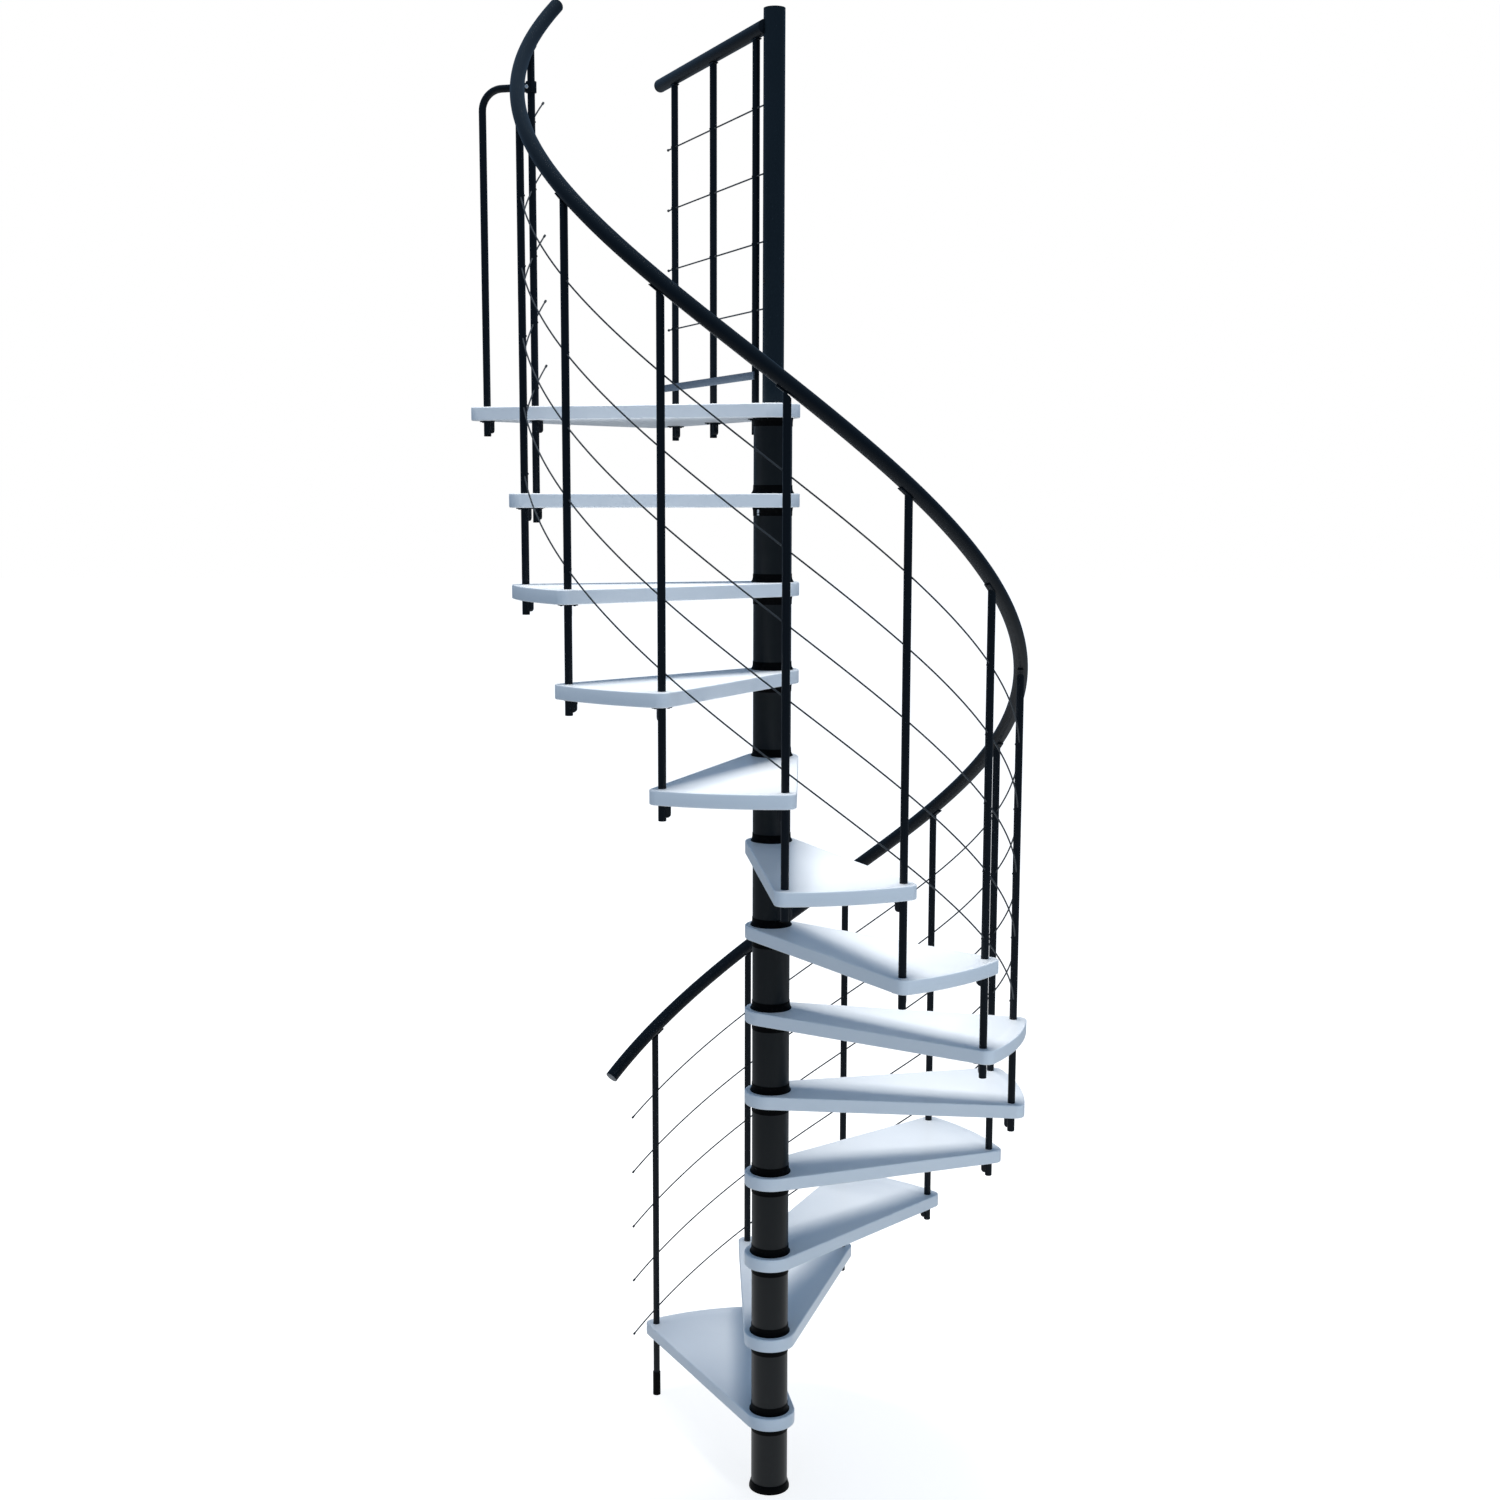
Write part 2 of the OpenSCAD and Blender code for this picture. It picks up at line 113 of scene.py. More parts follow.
# %% [markdown]
# ## Camera
# The camera stands back from the stair at the height of the upper treads and
# looks slightly down. Its lens is a short telephoto. The small shift frames
# the stair without tilting the camera, so the pole stays upright in the view.

# %% The camera
camera_data = bpy.data.cameras.new("camera")
camera = bpy.data.objects.new("camera", camera_data)
bpy.context.scene.collection.objects.link(camera)
camera_data.sensor_width = 36
camera_data.lens = 46.248
camera_data.shift_x = 0.0203
camera_data.shift_y = 0.00913
camera_data.clip_start = 0.05
camera_data.clip_end = 200
camera.location = (0, -5.1956, 2.8149)
look = Vector((-0.02706264, 0.99007353, -0.13792031))
camera.rotation_mode = "QUATERNION"
camera.rotation_quaternion = look.to_track_quat("-Z", "Y")
bpy.context.scene.camera = camera
print("camera at", tuple(round(v, 3) for v in camera.location))

# %% [markdown]
# ## Light
# White lacquer and black steel are hard to light together. A wide soft box
# overhead makes the tread tops bright, and a dim bluish surround fills the
# shadows and gives the steel something to reflect. The surround is shown as
# plain white only where the camera, or a shiny surface, looks straight at it.

# %% The surround and the lamps
scene = bpy.context.scene
scene.view_settings.view_transform = "Standard"
world = bpy.data.worlds.new("surround")
scene.world = world
world.use_nodes = True
links, nodes = world.node_tree.links, world.node_tree.nodes
nodes.clear()
fill = nodes.new("ShaderNodeBackground")
fill.inputs["Color"].default_value = (0.34, 0.61, 1.0, 1)
fill.inputs["Strength"].default_value = 0.34
white = nodes.new("ShaderNodeBackground")
white.inputs["Color"].default_value = (1, 1, 1, 1)
path = nodes.new("ShaderNodeLightPath")
shown = nodes.new("ShaderNodeMath")
shown.operation = "MAXIMUM"
glossy = nodes.new("ShaderNodeMath")
glossy.operation = "MULTIPLY"
glossy.inputs[1].default_value = 0.03
mix = nodes.new("ShaderNodeMixShader")
output = nodes.new("ShaderNodeOutputWorld")
links.new(path.outputs["Is Glossy Ray"], glossy.inputs[0])
links.new(path.outputs["Is Camera Ray"], shown.inputs[0])
links.new(glossy.outputs[0], shown.inputs[1])
links.new(shown.outputs[0], mix.inputs[0])
links.new(fill.outputs[0], mix.inputs[1])
links.new(white.outputs[0], mix.inputs[2])
links.new(mix.outputs[0], output.inputs[0])


def soft_box(name, place, target, size, power, colour):
    """A square area lamp that faces a target."""
    data = bpy.data.lights.new(name, "AREA")
    data.shape = "SQUARE"
    data.size = size
    data.energy = power
    data.color = colour
    lamp = bpy.data.objects.new(name, data)
    scene.collection.objects.link(lamp)
    lamp.location = place
    lamp.rotation_mode = "QUATERNION"
    lamp.rotation_quaternion = (Vector(target) - Vector(place)).to_track_quat("-Z", "Y")
    lamp.visible_camera = False
    lamp.visible_glossy = False
    print(name, power, "W,", size, "m across")
    return lamp


soft_box("overhead", (-0.2, 0.1, 8.2), (0, 0, 2.2), 3.0, 630, (1.0, 0.985, 0.95))
soft_box("front", (-3.0, -6.0, 1.6), (0, 0, 1.0), 2.2, 48, (0.78, 0.90, 1.0))
soft_box("right", (3.6, -3.2, 0.9), (0, 0, 0.8), 1.8, 52, (0.80, 0.91, 1.0))

# %% [markdown]
# ## Floor
# A pale floor and no wall: the floor is large enough to reach the horizon. The
# camera sees it lifted towards white, fully so a few metres out, and only the
# stair's own soft shadow stays near its foot. Shiny surfaces see that white
# dimmed, brightest near the stair's foot. Other rays see a plain grey, so the
# treads' undersides aren't lit too much.

# %% The floor
FLOOR_HALF = 60
FLOOR_DROP = 0.0004
floor_mat = bpy.data.materials.new("pale_floor")
floor_mat.use_nodes = True
nodes, links = floor_mat.node_tree.nodes, floor_mat.node_tree.links
paint = nodes["Principled BSDF"]
paint.inputs["Base Color"].default_value = (0.44, 0.43, 0.41, 1)
paint.inputs["Roughness"].default_value = 0.9
paint.inputs["Specular IOR Level"].default_value = 0.2
glow = nodes.new("ShaderNodeEmission")
path = nodes.new("ShaderNodeLightPath")
where = nodes.new("ShaderNodeTexCoord")
distance = nodes.new("ShaderNodeVectorMath")
distance.operation = "LENGTH"
links.new(where.outputs["Object"], distance.inputs[0])


def by_distance(near, far, at_near, at_far):
    """A value that changes evenly between two distances from the pole."""
    ramp = nodes.new("ShaderNodeMapRange")
    ramp.inputs["From Min"].default_value = near
    ramp.inputs["From Max"].default_value = far
    ramp.inputs["To Min"].default_value = at_near
    ramp.inputs["To Max"].default_value = at_far
    links.new(distance.outputs["Value"], ramp.inputs["Value"])
    return ramp.outputs["Result"]


mirrored = nodes.new("ShaderNodeMath")
mirrored.operation = "MULTIPLY_ADD"
lift = nodes.new("ShaderNodeMath")
lift.operation = "MULTIPLY"
add = nodes.new("ShaderNodeAddShader")
links.new(path.outputs["Is Glossy Ray"], mirrored.inputs[0])
links.new(by_distance(0.5, 2.4, 1.0, 0.12), mirrored.inputs[1])
links.new(path.outputs["Is Camera Ray"], mirrored.inputs[2])
links.new(mirrored.outputs[0], lift.inputs[0])
links.new(by_distance(0.15, 1.6, 0.83, 1.0), lift.inputs[1])
links.new(lift.outputs[0], glow.inputs["Strength"])
links.new(paint.outputs[0], add.inputs[0])
links.new(glow.outputs[0], add.inputs[1])
links.new(add.outputs[0], nodes["Material Output"].inputs["Surface"])

bm = bmesh.new()
bmesh.ops.create_grid(bm, x_segments=1, y_segments=1, size=FLOOR_HALF)
bmesh.ops.translate(bm, verts=bm.verts, vec=(0, 0, -FLOOR_DROP))
floor_mesh = bpy.data.meshes.new("floor")
bm.to_mesh(floor_mesh)
bm.free()
floor = bpy.data.objects.new("floor", floor_mesh)
scene.collection.objects.link(floor)
floor_mesh.materials.append(floor_mat)
print("floor laid")

# %% [markdown]
# ## Paint effects shared by several finishes
# Sprayed and powder-coated skins are never quite smooth: a fine ripple, called
# orange peel, and a slow change of gloss from one place to the next. Both come
# from noise in object space, so they stay put on the piece. The group hands
# out a height for a Bump node and a value for Roughness, and each finish sets
# its own grain size and gloss.

# %% A group for sprayed skins
FLOAT = "NodeSocketFloat"


def new_group(name, inputs, outputs):
    """An empty node group with named float inputs and outputs."""
    group = bpy.data.node_groups.new(name, "ShaderNodeTree")
    for label, default in inputs:
        socket = group.interface.new_socket(label, in_out="INPUT", socket_type=FLOAT)
        socket.default_value = default
    for label, kind in outputs:
        group.interface.new_socket(label, in_out="OUTPUT", socket_type=kind)
    return group, group.nodes.new("NodeGroupInput"), group.nodes.new("NodeGroupOutput")


def math_node(tree, operation, first_value, second_value=0.0):
    """A Math node whose inputs are sockets or plain numbers."""
    node = tree.nodes.new("ShaderNodeMath")
    node.operation = operation
    for slot, value in enumerate((first_value, second_value)):
        if isinstance(value, bpy.types.NodeSocket):
            tree.links.new(value, node.inputs[slot])
        else:
            node.inputs[slot].default_value = value
    return node.outputs[0]


def noise_node(tree, coordinates, scale, detail=2.0):
    """A Noise texture on the given coordinates."""
    node = tree.nodes.new("ShaderNodeTexNoise")
    node.inputs["Detail"].default_value = detail
    tree.links.new(coordinates, node.inputs["Vector"])
    if isinstance(scale, bpy.types.NodeSocket):
        tree.links.new(scale, node.inputs["Scale"])
    else:
        node.inputs["Scale"].default_value = scale
    return node.outputs["Fac"]


PATCHES_PER_METRE = 7.0
skin, given, handed = new_group(
    "sprayed_skin",
    [("Grain per metre", 900), ("Roughness", 0.4), ("Roughness spread", 0.1)],
    [("Height", FLOAT), ("Roughness", FLOAT), ("Patches", FLOAT)],
)
coordinates = skin.nodes.new("ShaderNodeTexCoord").outputs["Object"]
peel = noise_node(skin, coordinates, given.outputs["Grain per metre"], 1.5)
patches = noise_node(skin, coordinates, PATCHES_PER_METRE, 3.0)
drift = math_node(skin, "SUBTRACT", patches, 0.5)
spread = math_node(skin, "MULTIPLY", drift, given.outputs["Roughness spread"])
gloss = math_node(skin, "ADD", given.outputs["Roughness"], spread)
skin.links.new(peel, handed.inputs["Height"])
skin.links.new(gloss, handed.inputs["Roughness"])
skin.links.new(patches, handed.inputs["Patches"])
print("group", skin.name, "with", len(skin.nodes), "nodes")

# %% [markdown]
# House dust settles on whatever faces up, thin and uneven. The second group
# makes a mask of it from the surface's direction and some noise, and every
# finish mixes a little grey in by that mask.

# %% A group for settled dust
SPECKS_PER_METRE = 160.0
dust, given, handed = new_group("settled_dust", [("Amount", 0.1)], [("Mask", FLOAT)])
geometry = dust.nodes.new("ShaderNodeNewGeometry")
axes = dust.nodes.new("ShaderNodeSeparateXYZ")
dust.links.new(geometry.outputs["Normal"], axes.inputs[0])
facing = math_node(dust, "MAXIMUM", axes.outputs["Z"], 0.0)
upward = math_node(dust, "POWER", facing, 4.0)
coordinates = dust.nodes.new("ShaderNodeTexCoord").outputs["Object"]
specks = noise_node(dust, coordinates, SPECKS_PER_METRE, 4.0)
lain = math_node(dust, "MULTIPLY", upward, specks)
mask = math_node(dust, "MULTIPLY", lain, given.outputs["Amount"])
dust.links.new(mask, handed.inputs["Mask"])
print("group", dust.name, "with", len(dust.nodes), "nodes")


# %% [markdown]
# ## The finishes
# One function builds every painted or moulded finish from the two groups: a
# colour that varies between two close tones, a roughness that drifts, a fine
# bump and some dust. What changes is the numbers. Each Principled shader
# stays in its own material.

# %% Painted and moulded finishes
DUST_GREY = (0.42, 0.42, 0.41)


def two_tones(tree, factor, dark, light):
    """A colour mixed between two tones by a factor socket."""
    node = tree.nodes.new("ShaderNodeMix")
    node.data_type = "RGBA"
    tree.links.new(factor, node.inputs["Factor"])
    for label, tone in (("A", dark), ("B", light)):
        socket = next(s for s in node.inputs if s.name == label and s.type == "RGBA")
        if isinstance(tone, bpy.types.NodeSocket):
            tree.links.new(tone, socket)
        else:
            socket.default_value = (*tone, 1)
    return next(s for s in node.outputs if s.type == "RGBA")


def finish_material(
    name, dark, light, roughness, spread, grain, bump, dusty, metallic=0.0, specular=0.5
):
    """A painted, moulded or bare metal finish."""
    material = bpy.data.materials.new(name)
    material.use_nodes = True
    tree = material.node_tree
    shader = tree.nodes["Principled BSDF"]
    shader.inputs["Metallic"].default_value = metallic
    shader.inputs["Specular IOR Level"].default_value = specular
    surface = tree.nodes.new("ShaderNodeGroup")
    surface.node_tree = skin
    surface.inputs["Grain per metre"].default_value = grain
    surface.inputs["Roughness"].default_value = roughness
    surface.inputs["Roughness spread"].default_value = spread
    settled = tree.nodes.new("ShaderNodeGroup")
    settled.node_tree = dust
    settled.inputs["Amount"].default_value = dusty
    colour = two_tones(tree, surface.outputs["Patches"], dark, light)
    colour = two_tones(tree, settled.outputs["Mask"], colour, DUST_GREY)
    ripple = tree.nodes.new("ShaderNodeBump")
    ripple.inputs["Strength"].default_value = 1.0
    ripple.inputs["Distance"].default_value = bump
    tree.links.new(surface.outputs["Height"], ripple.inputs["Height"])
    tree.links.new(colour, shader.inputs["Base Color"])
    tree.links.new(surface.outputs["Roughness"], shader.inputs["Roughness"])
    tree.links.new(ripple.outputs["Normal"], shader.inputs["Normal"])
    print("finish", name)
    return material


lacquer = finish_material(
    "white_lacquer", (0.84, 0.865, 0.895), (0.90, 0.92, 0.94),
    roughness=0.36, spread=0.10, grain=420, bump=0.00006, dusty=0.05,
)
# The pole's and the rails' coats are near-black paint. Their blue tint is painted light: it
# stands for the surround's bluish sheen on the upper steel. The pole's coat is also painted
# lighter than the spacers' coat, for the light that falls on the upper pole.
pole_coat_and_blue_sheen = finish_material(
    "pole_powder_coat_and_blue_sheen", (0.0072, 0.0125, 0.0175), (0.0096, 0.0165, 0.0230),
    roughness=0.42, spread=0.08, grain=1500, bump=0.00001, dusty=0.003,
    specular=0.16,
)
spacer_coat = finish_material(
    "spacer_powder_coat", (0.0046, 0.0056, 0.0060), (0.0062, 0.0075, 0.0080),
    roughness=0.42, spread=0.08, grain=1500, bump=0.00001, dusty=0.003,
    specular=0.26,
)
rail_coat_and_blue_sheen = finish_material(
    "rail_powder_coat_and_blue_sheen", (0.0036, 0.0056, 0.0082), (0.0050, 0.0080, 0.0118),
    roughness=0.38, spread=0.08, grain=1800, bump=0.00001, dusty=0.003,
    specular=0.16,
)
collar_plastic = finish_material(
    "black_collar_plastic", (0.0010, 0.0011, 0.0012), (0.0018, 0.0018, 0.0019),
    roughness=0.55, spread=0.12, grain=700, bump=0.00005, dusty=0.004,
    specular=0.05,
)
plug_plastic = finish_material(
    "grey_plug_plastic", (0.15, 0.155, 0.16), (0.20, 0.205, 0.21),
    roughness=0.55, spread=0.12, grain=900, bump=0.00006, dusty=0.04,
)
wire = finish_material(
    "wire_steel", (0.030, 0.035, 0.039), (0.052, 0.059, 0.066),
    roughness=0.46, spread=0.15, grain=1400, bump=0.00002, dusty=0.004,
    specular=0.20,
)
screw_steel = finish_material(
    "blackened_screw_steel", (0.018, 0.019, 0.021), (0.034, 0.035, 0.037),
    roughness=0.34, spread=0.12, grain=1600, bump=0.00002, dusty=0.05,
    metallic=0.6,
)
zinc = finish_material(
    "zinc_plate", (0.62, 0.65, 0.67), (0.78, 0.80, 0.82),
    roughness=0.34, spread=0.12, grain=1200, bump=0.00002, dusty=0.02,
    metallic=0.3,
)

# %% [markdown]
# The toe bar is a bare drawn strip. Drawing leaves fine lines along it, which
# a noise stretched along the bar gives. One Mapping node turns the pattern to
# lie along the guard, and a second one stretches it.

# %% The drawn strip's finish
LINES_PER_METRE = (6, 900, 900)
GROOVE_DEPTH = 0.00003
strip = bpy.data.materials.new("drawn_strip")
strip.use_nodes = True
tree = strip.node_tree
shader = tree.nodes["Principled BSDF"]
shader.inputs["Metallic"].default_value = 0.85
turned = tree.nodes.new("ShaderNodeMapping")
turned.inputs["Rotation"].default_value = (0, 0, -GUARD_AZ)
tree.links.new(tree.nodes.new("ShaderNodeTexCoord").outputs["Object"], turned.inputs["Vector"])
stretched = tree.nodes.new("ShaderNodeMapping")
stretched.inputs["Scale"].default_value = LINES_PER_METRE
tree.links.new(turned.outputs[0], stretched.inputs["Vector"])
lines = noise_node(tree, stretched.outputs[0], 1.0, 3.0)
tone = two_tones(tree, lines, (0.13, 0.165, 0.21), (0.20, 0.24, 0.29))
tree.links.new(tone, shader.inputs["Base Color"])
streaks = math_node(tree, "MULTIPLY", lines, 0.25)
tree.links.new(math_node(tree, "ADD", streaks, 0.5), shader.inputs["Roughness"])
groove = tree.nodes.new("ShaderNodeBump")
groove.inputs["Distance"].default_value = GROOVE_DEPTH
tree.links.new(lines, groove.inputs["Height"])
tree.links.new(groove.outputs["Normal"], shader.inputs["Normal"])
print("finish", strip.name)

# %% [markdown]
# ## Making pieces
# Every new piece is made the same way: operators shape a bmesh, faces are set
# smooth with hard edges kept, and the mesh goes into an object that rides on
# the stair and takes its finish, and the CAD nodes it stands for are hidden.

# %% From bmesh to piece
WELD = 0.00001


def only(kind, geom):
    """The vertices, edges or faces among an operator's results."""
    return [g for g in geom if isinstance(g, kind)]


def edges_of(verts):
    """Every edge that touches one of the vertices."""
    return list({e for v in verts for e in v.link_edges})


def harden(bm, degrees=34):
    """Smooth faces, with edges sharper than an angle kept crisp."""
    for face in bm.faces:
        face.smooth = True
    for edge in bm.edges:
        if len(edge.link_faces) == 2:
            edge.smooth = edge.calc_face_angle(0) < math.radians(degrees)


def piece_from(bm, name, material, replaced=()):
    """Turns a bmesh into a finished piece of the stair."""
    loose = sum(len(e.link_faces) != 2 for e in bm.edges)
    mesh = bpy.data.meshes.new(name)
    bm.to_mesh(mesh)
    bm.free()
    piece = bpy.data.objects.new(name, mesh)
    scene.collection.objects.link(piece)
    mesh.materials.append(material)
    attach(piece, "root")
    if replaced:
        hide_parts(*replaced)
    print(name, len(mesh.polygons), "faces,", loose, "open edges")
    return piece


def paint_node(node, material):
    """Gives a CAD node's own object a finish."""
    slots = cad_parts[node].data.materials
    slots.clear()
    slots.append(material)


# %% [markdown]
# ## Treads and platform
# A real tread is a lacquered board with softly rounded edges, and those edges
# catch the light. The outline bulges everywhere, so the whole board is the
# convex hull of a few stacked rings: a small ring about the pole and one at
# each outer corner, and for a tread an arc between them. Rings near the faces
# are drawn in by a quarter round. The underside is then filled between its
# outline and the rims of the bores, a copy of that fill closes the top, and
# each pair of rims is joined by a wall.

# %% Boards with rounded edges
HUB_R = 0.072
ROUND = 0.0034
ROUND_STEPS = 4
HUB_SIDES = 96
CORNER_SIDES = 72
BORE_SIDES = 48
ARC_STEPS = 36
LARGE_FACE = 0.0015
BORE_CLEARANCE = 0.0003
POLE_R = 0.0285
BALUSTER_R = 0.010


def stack(bm, centre, radius, levels, count):
    """Stacked rings about a centre, each drawn in by its level's inset."""
    for inset, z in levels:
        bmesh.ops.create_circle(
            bm, segments=count, radius=radius - inset,
            matrix=Matrix.Translation((centre.x, centre.y, z)),
        )


def board(top, middle_az, half, reach, corner_r, bores, arc=True):
    """A wedge board with rounded edges and round bores."""
    bottom = top - TREAD_T
    quarter = [i * math.pi / 2 / ROUND_STEPS for i in range(ROUND_STEPS + 1)]
    levels = [(ROUND * (1 - math.sin(a)), bottom + ROUND * (1 - math.cos(a))) for a in quarter]
    levels += [(inset, top + bottom - z) for inset, z in levels]
    bm = bmesh.new()
    stack(bm, Vector((0, 0)), HUB_R, levels, HUB_SIDES)
    for az in (middle_az - half, middle_az + half):
        corner = Vector((reach * math.cos(az), reach * math.sin(az)))
        stack(bm, corner, corner_r, levels, CORNER_SIDES)
    if arc:
        az = middle_az - half
        for inset, z in levels:
            radius = reach + corner_r - inset
            start = bm.verts.new((radius * math.cos(az), radius * math.sin(az), z))
            bmesh.ops.spin(
                bm, geom=[start], cent=(0, 0, 0), axis=(0, 0, 1),
                angle=2 * half, steps=ARC_STEPS,
            )
    hull = bmesh.ops.convex_hull(bm, input=bm.verts, use_existing_faces=False)
    spare = only(bmesh.types.BMVert, hull["geom_interior"] + hull["geom_unused"])
    bmesh.ops.delete(bm, geom=list(set(spare)), context="VERTS")
    bmesh.ops.dissolve_limit(bm, angle_limit=math.radians(0.2), edges=bm.edges)
    flats = [f for f in bm.faces if abs(f.normal.z) > 0.999]
    bmesh.ops.delete(bm, geom=flats, context="FACES_ONLY")
    bmesh.ops.delete(bm, geom=[e for e in bm.edges if e.is_wire], context="EDGES")
    rims = [e for e in bm.edges if e.is_boundary and abs(e.verts[0].co.z - bottom) < WELD]
    for centre, radius in bores:
        place = Matrix.Translation((centre.x, centre.y, bottom))
        ring = bmesh.ops.create_circle(bm, segments=BORE_SIDES, radius=radius, matrix=place)
        rims += edges_of(ring["verts"])
    filled = bmesh.ops.triangle_fill(bm, use_beauty=True, edges=rims, normal=(0, 0, -1))
    under = only(bmesh.types.BMFace, filled["geom"])
    copied = bmesh.ops.duplicate(bm, geom=under)["geom"]
    bmesh.ops.translate(bm, verts=only(bmesh.types.BMVert, copied), vec=(0, 0, top - bottom))
    bmesh.ops.remove_doubles(bm, verts=bm.verts, dist=WELD)
    for centre, radius in bores:
        near = radius + ROUND / 2
        walls = [
            e for e in bm.edges
            if e.is_boundary and all((v.co.xy - centre).length < near for v in e.verts)
        ]
        bmesh.ops.bridge_loops(bm, edges=walls)
    bmesh.ops.recalc_face_normals(bm, faces=bm.faces)
    harden(bm)
    for face in bm.faces:
        if face.calc_area() > LARGE_FACE or abs(face.normal.z) > 0.9999:
            face.smooth = False
    return bm


STAIR_R = 0.700
CORNER_R = 0.027
pole_bore = (Vector((0, 0)), POLE_R + BORE_CLEARANCE)
for k in range(1, TREADS + 1):
    node = f"tread_{k:02d}"
    bores = [pole_bore]
    bores += [(standing(b)[1].xy, BALUSTER_R + BORE_CLEARANCE) for b in (k - 1, k)]
    middle = START_AZ - (k - 0.5) * STEP
    bm = board(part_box(node)[1].z, middle, STEP / 2, STAIR_R - CORNER_R, CORNER_R, bores)
    piece_from(bm, f"board_{k:02d}", lacquer, [node])

# %% [markdown]
# The platform is the same kind of board, twice as wide, with a straight outer
# edge that meets the upper floor. Besides the pole and the last baluster it
# is bored for the closing tube at its corner and the three guard tubes.

# %% The platform's board
PLATFORM_HALF = PLATFORM_ANGLE / 2
PLATFORM_REACH = 0.820
PLATFORM_CORNER_R = 0.028
CLOSING_REACH = 0.803
GUARD_OFFSET = 0.026
GUARD_FEET = (0.059, 0.363, 0.667)


def on_guard(along, z=0.0, aside=0.0):
    """A point on the guard's line, so far out from the pole."""
    sideways = (GUARD_OFFSET + aside) * leftward(GUARD_AZ)
    return along * heading(GUARD_AZ) + sideways + Vector((0, 0, z))


closing_foot = Vector((CLOSING_REACH * math.cos(LAST_AZ), CLOSING_REACH * math.sin(LAST_AZ), 0))
tube_feet = [standing(TREADS)[1], closing_foot] + [on_guard(s) for s in GUARD_FEET]
bores = [pole_bore] + [(foot.xy, BALUSTER_R + BORE_CLEARANCE) for foot in tube_feet]
middle = LAST_AZ - PLATFORM_HALF
bm = board(
    PLATFORM_TOP, middle, PLATFORM_HALF, PLATFORM_REACH, PLATFORM_CORNER_R, bores, arc=False
)
piece_from(bm, "platform_board", lacquer, ["platform"])

# %% [markdown]
# ## The handrail
# The handrail is a steel tube rolled into a helix. Spin does just that when it
# is given a lift for each step: a circle square to the slope turns about the
# pole and climbs, and leaves a tube behind it. Both ends are then inset and
# sunk, which leaves the tube's wall showing round its plug.

# %% The helical handrail
RAIL_R = 0.019
RAIL_WALL = 0.002
RAIL_RUN = math.radians(14.25)
RAIL_H = 0.958
RAIL_LOW = RISE + RAIL_H
RAIL_STEPS = 240
RAIL_SIDES = 48
END_SUNK = 0.006


def ring_at(bm, place, radius, count):
    """A circle of edges square to a helix at a place on it."""
    point, out, up, along = place
    turn = Matrix((out, up, along)).transposed().to_4x4()
    made = bmesh.ops.create_circle(
        bm, segments=count, radius=radius, matrix=Matrix.Translation(point) @ turn
    )["verts"]
    return made, edges_of(made)


bm = bmesh.new()
verts, edges = ring_at(bm, helix_place(-RAIL_RUN, RAIL_LOW), RAIL_R, RAIL_SIDES)
turned_by = FLIGHT + 2 * RAIL_RUN
lift = turned_by / STEP * RISE / RAIL_STEPS
swept = bmesh.ops.spin(
    bm, geom=verts + edges, cent=(0, 0, 0), axis=(0, 0, 1), angle=-turned_by,
    dvec=(0, 0, lift), steps=RAIL_STEPS,
)
last_edges = only(bmesh.types.BMEdge, swept["geom_last"])
for loop in (edges, last_edges):
    cap = bmesh.ops.contextual_create(bm, geom=loop)["faces"]
    bmesh.ops.inset_region(bm, faces=cap, thickness=RAIL_WALL, depth=0)
    bmesh.ops.recalc_face_normals(bm, faces=bm.faces)
    bmesh.ops.inset_region(bm, faces=cap, thickness=WELD, depth=-END_SUNK)
bmesh.ops.recalc_face_normals(bm, faces=bm.faces)
harden(bm)
piece_from(bm, "helical_handrail", rail_coat_and_blue_sheen, ["handrail"])

# %% [markdown]
# Each end is closed by a moulded plug with a softly rounded rim.

# %% The handrail's plugs
PLUG_START = 0.005
PLUG_DEPTH = 0.0056
PLUG_EASE = 0.0008
SKIN_GAP = 0.0001


def rounded_disc(bm, point, axis, radius, depth, bevel, count=40):
    """A short rod about an axis, its outer rim rounded. It starts at a point."""
    turn = axis.to_track_quat("Z", "Y").to_matrix().to_4x4()
    middle = Matrix.Translation(point) @ turn @ Matrix.Translation((0, 0, depth / 2))
    made = bmesh.ops.create_cone(
        bm, cap_ends=True, segments=count, radius1=radius, radius2=radius, depth=depth,
        matrix=middle,
    )["verts"]
    tip = point + axis * depth
    rim = [
        e for e in edges_of(made)
        if all(abs((v.co - tip).dot(axis)) < WELD / 10 for v in e.verts)
    ]
    bmesh.ops.bevel(
        bm, geom=rim, offset=bevel, offset_type="OFFSET", affect="EDGES",
        segments=3, profile=0.5, material=-1,
    )


bm = bmesh.new()
for turn, way in ((-RAIL_RUN, -1), (FLIGHT + RAIL_RUN, 1)):
    point, out, up, along = helix_place(turn, RAIL_LOW)
    rounded_disc(
        bm, point - way * along * PLUG_START, way * along,
        RAIL_R - RAIL_WALL - SKIN_GAP, PLUG_DEPTH, PLUG_EASE,
    )
harden(bm)
piece_from(bm, "handrail_end_plugs", plug_plastic, ["handrail_plugs"])

# %% [markdown]
# ## Wire cables
# A cable is six strands laid round a seventh, so its outline has six lobes
# that wind along it. The strands' crests stand just proud of the CAD model's
# 4 mm rod and the hollows lie close to it. A flat grid is rolled up round an
# axis and twisted as it goes, with every other column drawn in, which gives a
# straight rope. Each vertex is then carried to its place along the helix.

# %% Straight rope
CABLE_R = 0.0023
LOBES = 6
HOLLOW = 0.90
LAY = 0.028
RINGS_PER_LAY = 10


